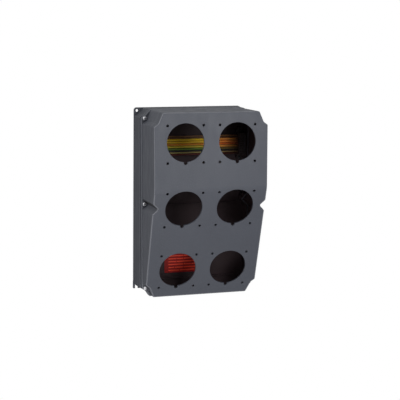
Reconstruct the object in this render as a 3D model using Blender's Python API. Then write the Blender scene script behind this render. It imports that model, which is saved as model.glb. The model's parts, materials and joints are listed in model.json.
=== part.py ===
"""Wall-mounted socket distribution enclosure: a rear box, a deep front cover with six cut-outs for
panel sockets, its screws and gasket, and the wiring loom and label inside. Metres, +Z up, the front
faces -Y, and the origin is the centre of the flat rear face."""

import math

import bmesh
import bpy
from mathutils import Vector

# Overall, as depths along Y from the rear face (y = 0) and half sizes about the centre
DEPTH = 0.124
PARTING_Y = -0.038  # front of the rear box's rim
COVER_BACK_Y = -0.0384  # back of the cover's flange, one parting gap in front of the rim
FLANGE_FRONT_Y = -0.0474
BACK_WALL = 0.004
WALL = 0.003
GAP = 0.0003  # between pieces that touch

# Cover face: upper part vertical, lower part slanting back below the fold
FACE_HALF = (0.096, 0.1562)
FOLD_Z = 0.0303
SLANT = math.radians(18.54)
EDGE_ROUND = 0.0016
CORNER_ROUND = 0.0024

# Screw pockets: a V notch at mid height on each side and a two-step cut at each corner
NOTCH_APEX_X = 0.087
NOTCH_HALF_HEIGHT = 0.009
CORNER_CUT = ((0.096, 0.1338), (0.0892, 0.1388), (0.0815, 0.1562))
FLANGE_CUT = ((0.0971, 0.143), (0.0907, 0.1474), (0.0815, 0.157))
FLANGE_LOW_CUT = ((0.0971, 0.143), (0.0912, 0.1468), (0.0845, 0.157))
BOX_FRONT_CUT = ((0.0984, 0.1436), (0.0913, 0.1478), (0.0822, 0.157))
BOX_BACK_CUT = ((0.0979, 0.1440), (0.0919, 0.1483), (0.0830, 0.1570))
BOX_BACK_LOW_CUT = ((0.0979, 0.1440), (0.0919, 0.1483), (0.0774, 0.1570))
BASE_FLARE = 0.0026  # how far each side of the rear face leans outwards from top to bottom

# Cut-outs for panel sockets: a circle with a keying notch inside a square of fixing holes
COLUMN_X = 0.0438
ROW_PITCH = 0.114
UPPER_ROW_Z = 0.1054
MIDDLE_ROW_DOWN_SLANT = 0.0349
FIXING_HALF = 0.030
FIXING_RADIUS = 0.0022
SOCKET_RADIUS = 0.0312
SOCKET_RISE = 0.0024  # circle's centre above the square's centre
KEY_RADIUS = 0.003
KEY_DROP = 0.0325  # key's centre below the circle's centre

# Cover screws, one in each pocket
CORNER_SCREW = (0.0918, 0.1424)
MIDDLE_SCREW = (0.0925, 0.0)
HEAD_RADIUS = 0.0033
HEAD_HEIGHT = 0.0026
HEAD_CROWN = 0.0006
DRIVE_DEPTH = 0.0014
DRIVE_SHARES = (0.17, 0.62)  # half width and reach of a cross drive's arms, as shares of the head's radius
SHANK_RADIUS = 0.00175
SHANK_END_Y = -0.0270
WASHER_THICKNESS = 0.0008
COVER_HOLE_RADIUS = 0.0021
INSERT_RADII = (0.0027, 0.00205)
INSERT_Y = (-0.0376, -0.0250)
BOSS_RADIUS = 0.0052

# Gasket, measured inwards from the cover's outline
GASKET_BAND = (0.0003, 0.0028)
GASKET_Y = (-0.0381, -0.0363)
BOX_MOUTH_INSET = 0.0045
RIM_DEPTH = 0.005

# Wall lugs at the back plate's corners
LUG_THICKNESS = 0.004
PLATE_HALF = (0.0984, 0.1576)
TOP_LEFT_HOLE = (-0.0933, 0.1525, 0.0024)  # x, z and radius
TOP_RIGHT_HOLE = (0.0938, 0.1500, 0.0016)
TOP_LEFT_ROUND = 0.0047
TOP_RIGHT_CUT = ((0.0984, 0.1510), (0.0860, 0.1576))
BOTTOM_LUG_Z = -0.1518
BOTTOM_LUG_X = 0.1014
BOTTOM_SLOT = (0.0957, -0.1466)
BOTTOM_SLOT_RADIUS = 0.0026
BOTTOM_LUG_ROOT = 0.0035  # width of the slope between the box's corner and the lug's foot
BOTTOM_LUG_SHOULDERS = (0.006, 0.009)  # above the slot's centre, where the lug narrows to the plate
BOTTOM_LUG_ROUND = 0.00075

# Rear face recesses, which leave a border and a cross of flat material
RECESS_DEPTH = 0.0015
RECESS_BORDER = 0.014
RECESS_SIDE_BORDER = 0.004
RECESS_CROSS = 0.010
RECESS_ROUND = 0.004

# Cable knock-outs scored in the underside
KNOCKOUT_X = 0.040
KNOCKOUT_Y = -0.0185
KNOCKOUT_RADII = (0.01275, 0.0116)
KNOCKOUT_DEPTH = 0.0008

# Wiring loom between two terminal strips
LOOM_Z = 0.0936
LOOM_Y = -0.0245
STRIP_X = (-0.0775, 0.0845)
STRIP_HALF_WIDTH = 0.006
STRIP_HALF_HEIGHT = 0.019
STRIP_EAR_HALF_WIDTH = 0.0045
STRIP_EAR_HALF_HEIGHT = 0.0275
STRIP_Y = (-0.0340, -0.0123)
STRIP_EAR_Y = -0.0163
STRIP_SCREW_HALF_SPACING = 0.0235
SADDLE_X = 0.029
SADDLE_SCREW_HALF_SPACING = 0.0250
SADDLE_HALF_WIDTH = 0.004
SADDLE_THICKNESS = 0.0018
SADDLE_CLEARANCE = 0.0042  # between the wires' middle and the bridge
SADDLE_FOOT = (-0.0042, 0.0035)  # foot's ends, from the screw
POST_RADIUS = 0.0038
POST_FRONT_Y = -0.012
SMALL_SCREW_RADIUS = 0.00125
SMALL_HEAD_RADIUS = 0.0026
SMALL_HEAD_HEIGHT = 0.0018
SMALL_SCREW_LENGTH = 0.0075
SMALL_DRIVE_DEPTH = 0.001
WIRE_GRIP = 0.004  # length of wire inside each terminal strip
WIRE_BOW = 0.0012
WIRE_STRAIGHT = 0.08  # share of the length that is straight at each end
WIRE_POINTS = 14
WIRES = (  # name, diameter, colour, top to bottom
    ("beige", 0.0025, (0.78, 0.66, 0.38)),
    ("brown", 0.0021, (0.16, 0.07, 0.02)),
    ("yellow_upper", 0.0038, (0.80, 0.66, 0.04)),
    ("yellow_lower", 0.0038, (0.74, 0.58, 0.04)),
    ("orange", 0.0032, (0.72, 0.30, 0.03)),
    ("olive", 0.0038, (0.52, 0.50, 0.06)),
    ("green", 0.0034, (0.10, 0.30, 0.05)),
    ("black", 0.0025, (0.02, 0.02, 0.02)),
    ("pale_green", 0.0025, (0.55, 0.62, 0.34)),
    ("red", 0.0029, (0.35, 0.04, 0.02)),
)

# Instruction label on the inner back wall: left, right, bottom, top
LABEL_EDGES = (-0.0462, 0.0255, -0.1280, -0.0640)
LABEL_THICKNESS = 0.0006

HOUSING = ((0.125, 0.133, 0.152), 0.55, 0.0)
STEEL = ((0.75, 0.75, 0.78), 0.25, 1.0)
BRASS = ((0.78, 0.57, 0.22), 0.35, 1.0)
RUBBER = ((0.015, 0.015, 0.015), 0.8, 0.0)
BLACK_MOULDING = ((0.02, 0.02, 0.022), 0.5, 0.0)
NYLON = ((0.30, 0.31, 0.33), 0.6, 0.0)
LABEL_RED = ((0.60, 0.05, 0.02), 0.45, 0.0)


def clear_scene():
    for obj in list(bpy.data.objects):
        bpy.data.objects.remove(obj, do_unlink=True)


def material(name, colour, roughness, metallic):
    found = bpy.data.materials.get(name)
    if found:
        return found
    made = bpy.data.materials.new(name)
    made.use_nodes = True
    shader = made.node_tree.nodes["Principled BSDF"]
    shader.inputs["Base Color"].default_value = (*colour, 1.0)
    shader.inputs["Roughness"].default_value = roughness
    shader.inputs["Metallic"].default_value = metallic
    return made


def add_object(name, bm, finish, location=(0, 0, 0), finish_name=None):
    """An object from a bmesh, with its faces turned outwards; a finish of None makes it a cutter."""
    bmesh.ops.recalc_face_normals(bm, faces=bm.faces)
    mesh = bpy.data.meshes.new(name)
    bm.to_mesh(mesh)
    bm.free()
    obj = bpy.data.objects.new(name, mesh)
    obj.location = location
    bpy.context.scene.collection.objects.link(obj)
    if finish is None:
        obj.hide_render = True
        obj.display_type = "WIRE"
    else:
        mesh.materials.append(material(finish_name or name, *finish))
        mesh.shade_smooth()
        mesh.set_sharp_from_angle(angle=math.radians(35))
    return obj


def boolean(obj, cutter, operation="DIFFERENCE"):
    modifier = obj.modifiers.new(cutter.name, "BOOLEAN")
    modifier.operation = operation
    modifier.solver = "EXACT"
    modifier.object = cutter


def on_face(x, z, y):
    return Vector((x, y, z))


def arc(centre, radius, start, end, steps):
    """Points along an arc, both ends included, angles in degrees."""
    turns = [math.radians(start + (end - start) * i / steps) for i in range(steps + 1)]
    return [(centre[0] + radius * math.cos(t), centre[1] + radius * math.sin(t)) for t in turns]


def circle(centre, radius, steps):
    return arc(centre, radius, 0, 360, steps)[:-1]


def mirrored(quadrant):
    return [*quadrant, *((-x, z) for x, z in reversed(quadrant))]


def symmetric(quadrant, lower_quadrant=None):
    """The closed outline whose upper right quarter, counter-clockwise, is given; the lower ones are its
    mirror image unless their own quarter is given."""
    outline = []
    for point in mirrored(quadrant) + [(-x, -z) for x, z in mirrored(lower_quadrant or quadrant)]:
        if not any(math.dist(point, seen) < 1e-7 for seen in outline):
            outline.append(point)
    return outline


def inset(outline, distance):
    """The outline with each side moved inwards by the distance; a negative one moves it outwards."""
    moved = []
    count = len(outline)
    for i in range(count):
        before, here, after = (Vector(outline[(i + k) % count]) for k in (-1, 0, 1))
        along_in, along_out = (here - before).normalized(), (after - here).normalized()
        normal_in = Vector((-along_in.y, along_in.x))
        normal_out = Vector((-along_out.y, along_out.x))
        bisector = (normal_in + normal_out).normalized()
        moved.append(tuple(here + bisector * (distance / bisector.dot(normal_in))))
    return moved


def rounded(outline, radius, steps=2):
    """The outline with each corner replaced by an arc of the radius."""
    points = []
    count = len(outline)
    for i in range(count):
        before, here, after = (Vector(outline[(i + k) % count]) for k in (-1, 0, 1))
        back, ahead = (before - here).normalized(), (after - here).normalized()
        half_angle = back.angle(ahead) / 2
        reach = radius / math.tan(half_angle)
        bisector = (back + ahead).normalized()
        centre = here + bisector * (radius / math.sin(half_angle))
        start = here + back * reach - centre
        sweep = start.angle_signed(here + ahead * reach - centre)
        for k in range(steps + 1):
            turn = -sweep * k / steps
            spoke = Vector((
                start.x * math.cos(turn) - start.y * math.sin(turn),
                start.x * math.sin(turn) + start.y * math.cos(turn),
            ))
            points.append(tuple(centre + spoke))
    return points


def loft(bm, outline_a, y_a, outline_b, y_b, place=on_face):
    """Adds the closed body between two outlines of equally many points."""
    ends = []
    for outline, y in ((outline_a, y_a), (outline_b, y_b)):
        ends.append([bm.verts.new(place(x, z, y)) for x, z in outline])
    count = len(ends[0])
    for i in range(count):
        j = (i + 1) % count
        bm.faces.new((ends[0][i], ends[0][j], ends[1][j], ends[1][i]))
    bm.faces.new(ends[0])
    bm.faces.new(ends[1][::-1])


def prism(bm, outline, y_a, y_b, place=on_face):
    loft(bm, outline, y_a, outline, y_b, place)


def ring(bm, outer, inner, y_a, y_b, place=on_face):
    """Adds the closed band between two outlines of equally many points."""
    loops = []
    for outline, y in ((outer, y_a), (outer, y_b), (inner, y_b), (inner, y_a)):
        loops.append([bm.verts.new(place(x, z, y)) for x, z in outline])
    count = len(outer)
    for k in range(4):
        here, following = loops[k], loops[(k + 1) % 4]
        for i in range(count):
            j = (i + 1) % count
            bm.faces.new((here[i], here[j], following[j], following[i]))


def prism_object(name, outline, y_a, y_b, finish=None, finish_name=None):
    bm = bmesh.new()
    prism(bm, outline, y_a, y_b)
    return add_object(name, bm, finish, finish_name=finish_name)


def rectangle(x_low, x_high, z_low, z_high):
    return [(x_low, z_low), (x_high, z_low), (x_high, z_high), (x_low, z_high)]


def face_outline():
    return symmetric([(NOTCH_APEX_X, 0.0), (FACE_HALF[0], NOTCH_HALF_HEIGHT), *CORNER_CUT])


def screw_centres():
    """The six cover screws, left column first, each column from the top down."""
    centres = []
    for side in (-1, 1):
        for x, z in (CORNER_SCREW, MIDDLE_SCREW, (CORNER_SCREW[0], -CORNER_SCREW[1])):
            centres.append((side * x, z))
    return centres


def post_centres():
    """Posts on the back wall that carry the terminal strips and the loom's saddle."""
    centres = [(x, LOOM_Z + s * STRIP_SCREW_HALF_SPACING) for x in STRIP_X for s in (1, -1)]
    return centres + [(SADDLE_X, LOOM_Z + s * SADDLE_SCREW_HALF_SPACING) for s in (1, -1)]


def slant_point(down, x=0.0, out=0.0):
    """A point on the slanted face, measured down the slope from the fold and out along its normal."""
    y = -DEPTH + down * math.sin(SLANT) - out * math.cos(SLANT)
    z = FOLD_Z - down * math.cos(SLANT) - out * math.sin(SLANT)
    return Vector((x, y, z))


def keep_behind_slant(bm, depth_below_face):
    """Cuts the body along the slanted plane, moved inwards by the given depth, and closes it."""
    normal = Vector((0, -math.cos(SLANT), -math.sin(SLANT)))
    cut = bmesh.ops.bisect_plane(
        bm,
        geom=bm.verts[:] + bm.edges[:] + bm.faces[:],
        plane_co=slant_point(0, out=-depth_below_face),
        plane_no=normal,
        clear_outer=True,
    )
    edges = [item for item in cut["geom_cut"] if isinstance(item, bmesh.types.BMEdge)]
    bmesh.ops.contextual_create(bm, geom=edges)


def round_front_edges(bm, front_y):
    """Rounds the edges between the front faces and the cover's sides."""
    bmesh.ops.recalc_face_normals(bm, faces=bm.faces)
    fronts = [face for face in bm.faces if face.normal.y < -0.5 and face.calc_center_median().y < front_y]
    edges = {edge for face in fronts for edge in face.edges if not all(f in fronts for f in edge.link_faces)}
    bmesh.ops.bevel(bm, geom=list(edges), offset=EDGE_ROUND, segments=2, profile=0.5, affect="EDGES")


def cover_body():
    bm = bmesh.new()
    body_back = (COVER_BACK_Y + FLANGE_FRONT_Y) / 2
    prism(bm, rounded(face_outline(), CORNER_ROUND), -DEPTH, body_back)
    keep_behind_slant(bm, 0)
    round_front_edges(bm, FLANGE_FRONT_Y)
    return add_object("front_cover", bm, HOUSING, finish_name="housing")


def cover_cavity():
    bm = bmesh.new()
    prism(bm, inset(face_outline(), WALL), -DEPTH + WALL, COVER_BACK_Y + WALL)
    keep_behind_slant(bm, WALL)
    return add_object("cutter_cover_cavity", bm, None)


def socket_outline():
    """The socket cut-out in its fixing square's own frame: circle first, then the key below it."""
    opening = math.degrees(math.asin(KEY_RADIUS / SOCKET_RADIUS))
    main = arc((0, SOCKET_RISE), SOCKET_RADIUS, -90 + opening, 270 - opening, 46)
    key = arc((0, SOCKET_RISE - KEY_DROP), KEY_RADIUS, 180, 360, 8)
    return main + key


def row_placers():
    """For each row of cut-outs, a function from (across, up, out) on its face to the object's frame."""

    def upper(across, up, out):
        return Vector((across, -DEPTH - out, UPPER_ROW_Z + up))

    def slanted(down):
        return lambda across, up, out: slant_point(down - up, across, out)

    return [upper, slanted(MIDDLE_ROW_DOWN_SLANT), slanted(MIDDLE_ROW_DOWN_SLANT + ROW_PITCH)]


def socket_cutters():
    bm = bmesh.new()
    outside, inside = 0.002, -0.008
    for placer in row_placers():
        for column in (-COLUMN_X, COLUMN_X):
            outline = [(column + x, z) for x, z in socket_outline()]
            prism(bm, outline, outside, inside, placer)
            for x in (-FIXING_HALF, FIXING_HALF):
                for z in (-FIXING_HALF, FIXING_HALF):
                    prism(bm, circle((column + x, z), FIXING_RADIUS, 12), outside, inside, placer)
    return add_object("cutter_sockets", bm, None)


def cover_screw_cutters():
    bm = bmesh.new()
    for centre in screw_centres():
        prism(bm, circle(centre, COVER_HOLE_RADIUS, 16), FLANGE_FRONT_Y - WALL, COVER_BACK_Y + WALL)
    return add_object("cutter_cover_screws", bm, None)


def front_cover(carrier):
    cover = cover_body()
    flange = rounded(symmetric(FLANGE_CUT, FLANGE_LOW_CUT), CORNER_ROUND)
    boolean(cover, prism_object("cutter_flange", flange, FLANGE_FRONT_Y, COVER_BACK_Y), "UNION")
    boolean(cover, cover_cavity())
    boolean(cover, socket_cutters())
    boolean(cover, cover_screw_cutters())
    cover.parent = carrier


def back_plate_outline():
    """The back plate with its lugs: corners above, the right one cut off, and slotted arms below."""
    side, top = PLATE_HALF
    slot_x, slot_z = BOTTOM_SLOT
    corner_x, corner_z = BOX_BACK_LOW_CUT[2]
    lower = [
        (corner_x, -corner_z),
        (corner_x + BOTTOM_LUG_ROOT, BOTTOM_LUG_Z),
        (slot_x - BOTTOM_SLOT_RADIUS, BOTTOM_LUG_Z),
        *arc((slot_x, slot_z), BOTTOM_SLOT_RADIUS, 180, 0, 8),
        (slot_x + BOTTOM_SLOT_RADIUS, BOTTOM_LUG_Z),
        *arc((BOTTOM_LUG_X - BOTTOM_LUG_ROUND, BOTTOM_LUG_Z + BOTTOM_LUG_ROUND), BOTTOM_LUG_ROUND, -90, 0, 2),
        (BOTTOM_LUG_X, slot_z + BOTTOM_LUG_SHOULDERS[0]),
        (side + BASE_FLARE, slot_z + BOTTOM_LUG_SHOULDERS[1]),
    ]
    top_left = arc((TOP_LEFT_ROUND - side, top - TOP_LEFT_ROUND), TOP_LEFT_ROUND, 90, 180, 6)
    return [*lower, *TOP_RIGHT_CUT, *top_left, *((-x, z) for x, z in reversed(lower))]


def flared(outline):
    """The outline with its sides leaning outwards towards the bottom."""
    top = PLATE_HALF[1]
    return [(x + math.copysign(BASE_FLARE, x) * (top - z) / (2 * top), z) for x, z in outline]


def box_cavity():
    """The space inside the rear box, with the screw bosses left standing in it."""
    low = inset(symmetric(BOX_BACK_CUT), WALL)
    cavity = prism_object("cutter_box_cavity", low, PARTING_Y + RIM_DEPTH, -BACK_WALL)
    bm = bmesh.new()
    for x, z in screw_centres():
        prism(bm, circle((x, z), BOSS_RADIUS, 20), PARTING_Y, 0)
    for centre in post_centres():
        prism(bm, circle(centre, POST_RADIUS, 16), POST_FRONT_Y, 0)
    boolean(cavity, add_object("cutter_bosses", bm, None))
    mouth = inset(face_outline(), BOX_MOUTH_INSET)
    overlap = 0.001
    mouth = prism_object("cutter_mouth", mouth, PARTING_Y - WALL, PARTING_Y + RIM_DEPTH + overlap)
    boolean(cavity, mouth, "UNION")
    return cavity


def box_small_cutters():
    """Holes for the inserts, the posts' screws and the upper lugs."""
    bm = bmesh.new()
    for centre in screw_centres():
        prism(bm, circle(centre, INSERT_RADII[0] + GAP, 20), PARTING_Y - WALL, INSERT_Y[1] + GAP)
    screw_hole = SMALL_SCREW_RADIUS + GAP
    for centre in post_centres():
        prism(bm, circle(centre, screw_hole, 12), POST_FRONT_Y - WALL, -LUG_THICKNESS)
    for *centre, radius in (TOP_LEFT_HOLE, TOP_RIGHT_HOLE):
        prism(bm, circle(centre, radius, 20), -LUG_THICKNESS - WALL, WALL)
    return add_object("cutter_box_holes", bm, None)


def rear_recesses():
    bm = bmesh.new()
    inner = RECESS_CROSS / 2
    outer = (BOX_BACK_CUT[2][0] - RECESS_SIDE_BORDER, PLATE_HALF[1] - RECESS_BORDER)
    for side_x in (-1, 1):
        for side_z in (-1, 1):
            xs = sorted((side_x * inner, side_x * outer[0]))
            zs = sorted((side_z * inner, side_z * outer[1]))
            outline = rounded(rectangle(*xs, *zs), RECESS_ROUND)
            prism(bm, outline, -RECESS_DEPTH, WALL)
    return add_object("cutter_rear_recesses", bm, None)


def knockouts():
    bm = bmesh.new()
    bottom = -BOX_BACK_CUT[2][1]
    for side in (-1, 1):
        centre = (side * KNOCKOUT_X, KNOCKOUT_Y)
        outer, inner = (circle(centre, radius, 28) for radius in KNOCKOUT_RADII)
        ring(bm, outer, inner, bottom - WALL, bottom + KNOCKOUT_DEPTH, lambda x, y, z: Vector((x, y, z)))
    return add_object("cutter_knockouts", bm, None)


def gasket_outlines(clearance):
    """Outer and inner edge of the gasket, or of its groove when a clearance is given."""
    outline = face_outline()
    return inset(outline, GASKET_BAND[0] - clearance), inset(outline, GASKET_BAND[1] + clearance)


def rear_box():
    bm = bmesh.new()
    front = rounded(symmetric(BOX_FRONT_CUT), CORNER_ROUND)
    back = rounded(flared(symmetric(BOX_BACK_CUT, BOX_BACK_LOW_CUT)), CORNER_ROUND)
    loft(bm, front, PARTING_Y, back, -LUG_THICKNESS / 2)
    box = add_object("rear_box", bm, HOUSING, finish_name="housing")
    boolean(box, prism_object("cutter_plate", back_plate_outline(), -LUG_THICKNESS, 0), "UNION")
    boolean(box, box_cavity())
    groove = bmesh.new()
    ring(groove, *gasket_outlines(GAP), PARTING_Y - WALL, GASKET_Y[1] + GAP)
    boolean(box, add_object("cutter_groove", groove, None))
    boolean(box, box_small_cutters())
    boolean(box, rear_recesses())
    boolean(box, knockouts())


def cover_gasket():
    bm = bmesh.new()
    ring(bm, *gasket_outlines(0), *GASKET_Y)
    add_object("cover_gasket", bm, RUBBER)


def turned(bm, profile, steps):
    """Adds the body turned about the Y axis from (radius, y) points, on the axis at both ends."""
    loops = []
    for radius, y in profile[1:-1]:
        loops.append([bm.verts.new(on_face(x, z, y)) for x, z in circle((0, 0), radius, steps)])
    ends = [bm.verts.new((0, profile[k][1], 0)) for k in (0, -1)]
    for i in range(steps):
        j = (i + 1) % steps
        for here, following in zip(loops, loops[1:]):
            bm.faces.new((here[i], here[j], following[j], following[i]))
        bm.faces.new((ends[0], loops[0][j], loops[0][i]))
        bm.faces.new((ends[1], loops[-1][i], loops[-1][j]))


def cross_slot(name, radius, depth, head_y, location):
    """A cutter shaped as a plus sign for a screw head's drive."""
    bm = bmesh.new()
    half, reach = (radius * share for share in DRIVE_SHARES)
    plus = [(half, half), (half, reach), (-half, reach), (-half, half), (-reach, half), (-reach, -half)]
    plus += [(-half, -half), (-half, -reach), (half, -reach), (half, -half), (reach, -half), (reach, half)]
    prism(bm, plus, head_y - depth, head_y + depth)
    return add_object(name, bm, None, location)


def cover_screws(carrier):
    floor_y = FLANGE_FRONT_Y - GAP
    washer_y = (floor_y - WASHER_THICKNESS, floor_y)
    seat_y = washer_y[0] - GAP
    head_y = seat_y - HEAD_HEIGHT
    profile = [
        (0, head_y),
        (HEAD_RADIUS - HEAD_CROWN, head_y),
        (HEAD_RADIUS, head_y + HEAD_CROWN),
        (HEAD_RADIUS, seat_y),
        (SHANK_RADIUS, seat_y),
        (SHANK_RADIUS, SHANK_END_Y - HEAD_CROWN),
        (SHANK_RADIUS - HEAD_CROWN, SHANK_END_Y),
        (0, SHANK_END_Y),
    ]
    for number, (x, z) in enumerate(screw_centres(), 1):
        bm = bmesh.new()
        turned(bm, profile, 20)
        screw = add_object(f"cover_screw_{number}", bm, STEEL, (x, 0, z), "steel")
        cutter = cross_slot(f"cutter_drive_{number}", HEAD_RADIUS, DRIVE_DEPTH, head_y, (x, 0, z))
        boolean(screw, cutter)
        bm = bmesh.new()
        ring(bm, circle((0, 0), HEAD_RADIUS, 20), circle((0, 0), SHANK_RADIUS + GAP, 20), *washer_y)
        washer = add_object(f"screw_washer_{number}", bm, NYLON, (x, 0, z), "nylon")
        screw.parent = washer.parent = carrier


def threaded_inserts():
    for number, centre in enumerate(screw_centres(), 1):
        bm = bmesh.new()
        ring(bm, circle((0, 0), INSERT_RADII[0], 20), circle((0, 0), INSERT_RADII[1], 20), *INSERT_Y)
        location = (centre[0], 0, centre[1])
        add_object(f"threaded_insert_{number}", bm, BRASS, location, "brass")


def wire_heights():
    """Each wire's own height, with the stack of wires centred on LOOM_Z."""
    total = sum(diameter for _, diameter, _ in WIRES) + GAP * (len(WIRES) - 1)
    z = LOOM_Z + total / 2
    heights = []
    for _, diameter, _ in WIRES:
        heights.append(z - diameter / 2)
        z -= diameter + GAP
    return heights


def loom_wires():
    start = STRIP_X[0] + STRIP_HALF_WIDTH - WIRE_GRIP
    end = STRIP_X[1] - STRIP_HALF_WIDTH + WIRE_GRIP
    for (name, diameter, colour), z in zip(WIRES, wire_heights()):
        curve = bpy.data.curves.new(f"wire_{name}", "CURVE")
        curve.dimensions = "3D"
        curve.bevel_depth = diameter / 2
        curve.bevel_resolution = 2
        curve.use_fill_caps = True
        spline = curve.splines.new("POLY")
        spline.points.add(WIRE_POINTS - 1)
        for i, point in enumerate(spline.points):
            along = i / (WIRE_POINTS - 1)
            free = max(0.0, min(1.0, (along - WIRE_STRAIGHT) / (1 - 2 * WIRE_STRAIGHT)))
            bow = WIRE_BOW * math.sin(math.pi * free) ** 2
            point.co = (start + (end - start) * along, LOOM_Y - bow, z, 1)
        curve.materials.append(material(f"wire_{name}", colour, 0.35, 0.0))
        obj = bpy.data.objects.new(f"wire_{name}", curve)
        bpy.context.scene.collection.objects.link(obj)


def strip_outline():
    """A terminal strip's block from the front, about its own centre."""
    wide, tall = STRIP_HALF_WIDTH, STRIP_HALF_HEIGHT
    return rounded(rectangle(-wide, wide, -tall, tall), 0.001)


def terminal_strips():
    for side, x in zip(("left", "right"), STRIP_X):
        inward = 1 if x < 0 else -1
        bm = bmesh.new()
        prism(bm, [(x + a, LOOM_Z + b) for a, b in strip_outline()], *STRIP_Y)
        strip = add_object(f"terminal_strip_{side}", bm, BLACK_MOULDING, finish_name="black_moulding")
        ear_x, ear_z = STRIP_EAR_HALF_WIDTH, STRIP_EAR_HALF_HEIGHT
        ear = rounded(rectangle(-ear_x, ear_x, -ear_z, ear_z), 0.0025)
        ear = [(x + a, LOOM_Z + b) for a, b in ear]
        boolean(strip, prism_object(f"cutter_ear_{side}", ear, STRIP_EAR_Y, STRIP_Y[1]), "UNION")
        bm = bmesh.new()
        for s in (-1, 1):
            centre = (x, LOOM_Z + s * STRIP_SCREW_HALF_SPACING)
            prism(bm, circle(centre, SMALL_SCREW_RADIUS + GAP, 12), STRIP_EAR_Y - WALL, STRIP_Y[1] + WALL)
        mouth = x + inward * STRIP_HALF_WIDTH
        for (_, diameter, _), z in zip(WIRES, wire_heights()):
            hole = circle((LOOM_Y, z), diameter / 2 + GAP * 0.45, 12)
            ends = sorted((mouth + inward * WALL, mouth - inward * (WIRE_GRIP + GAP)))
            prism(bm, hole, *ends, lambda y, z, x: Vector((x, y, z)))
        boolean(strip, add_object(f"cutter_strip_holes_{side}", bm, None))


def loom_saddle():
    """A bridge over the wires, standing on two posts."""
    foot_y, bridge_back = POST_FRONT_Y - GAP, LOOM_Y - SADDLE_CLEARANCE
    thickness = SADDLE_THICKNESS
    leg, foot = (SADDLE_SCREW_HALF_SPACING + end for end in SADDLE_FOOT)
    top = [
        (leg - thickness, foot_y),
        (foot, foot_y),
        (foot, foot_y - thickness),
        (leg, foot_y - thickness),
        (leg, bridge_back - thickness),
    ]
    inner_corner = (leg - thickness, bridge_back)
    outline = [inner_corner] + top
    outline = outline + [(-z, y) for z, y in reversed(outline)]
    bm = bmesh.new()
    sides = (SADDLE_X - SADDLE_HALF_WIDTH, SADDLE_X + SADDLE_HALF_WIDTH)
    prism(bm, outline, *sides, lambda z, y, x: Vector((x, y, LOOM_Z + z)))
    saddle = add_object("loom_saddle", bm, NYLON, finish_name="nylon")
    bm = bmesh.new()
    for s in (-1, 1):
        centre = (SADDLE_X, LOOM_Z + s * SADDLE_SCREW_HALF_SPACING)
        prism(bm, circle(centre, SMALL_SCREW_RADIUS + GAP, 12), foot_y - 2 * thickness, foot_y + thickness)
    boolean(saddle, add_object("cutter_saddle_holes", bm, None))
    return foot_y - thickness


def small_screws(saddle_seat_y):
    """The screws that hold the terminal strips and the saddle to the posts."""
    for number, (x, z) in enumerate(post_centres(), 1):
        on_saddle = abs(x - SADDLE_X) < 1e-6
        kind = "saddle_screw" if on_saddle else "strip_screw"
        seat_y = (saddle_seat_y if on_saddle else STRIP_EAR_Y) - GAP
        head_y = seat_y - SMALL_HEAD_HEIGHT
        profile = [
            (0, head_y),
            (SMALL_HEAD_RADIUS * 0.7, head_y),
            (SMALL_HEAD_RADIUS, head_y + SMALL_HEAD_HEIGHT * 0.5),
            (SMALL_HEAD_RADIUS, seat_y),
            (SMALL_SCREW_RADIUS, seat_y),
            (SMALL_SCREW_RADIUS, seat_y + SMALL_SCREW_LENGTH),
            (0, seat_y + SMALL_SCREW_LENGTH + SMALL_SCREW_RADIUS),
        ]
        bm = bmesh.new()
        turned(bm, profile, 14)
        screw = add_object(f"{kind}_{number}", bm, STEEL, (x, 0, z), "steel")
        drive = (SMALL_HEAD_RADIUS, SMALL_DRIVE_DEPTH, head_y, (x, 0, z))
        boolean(screw, cross_slot(f"cutter_small_drive_{number}", *drive))


def instruction_label():
    outline = rounded(rectangle(*LABEL_EDGES), 0.002)
    back = -BACK_WALL - GAP
    prism_object("instruction_label", outline, back - LABEL_THICKNESS, back, LABEL_RED)


def main():
    clear_scene()
    carrier = bpy.data.objects.new("cover_carrier", None)
    bpy.context.scene.collection.objects.link(carrier)
    rear_box()
    front_cover(carrier)
    cover_gasket()
    cover_screws(carrier)
    threaded_inserts()
    terminal_strips()
    loom_wires()
    small_screws(loom_saddle())
    instruction_label()


main()
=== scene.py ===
"""Looks for the wall-mounted socket distribution enclosure: fine shells, fasteners, loom and label on the
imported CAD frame, with procedural finishes, soft studio light and the camera."""

import json
import math

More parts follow.
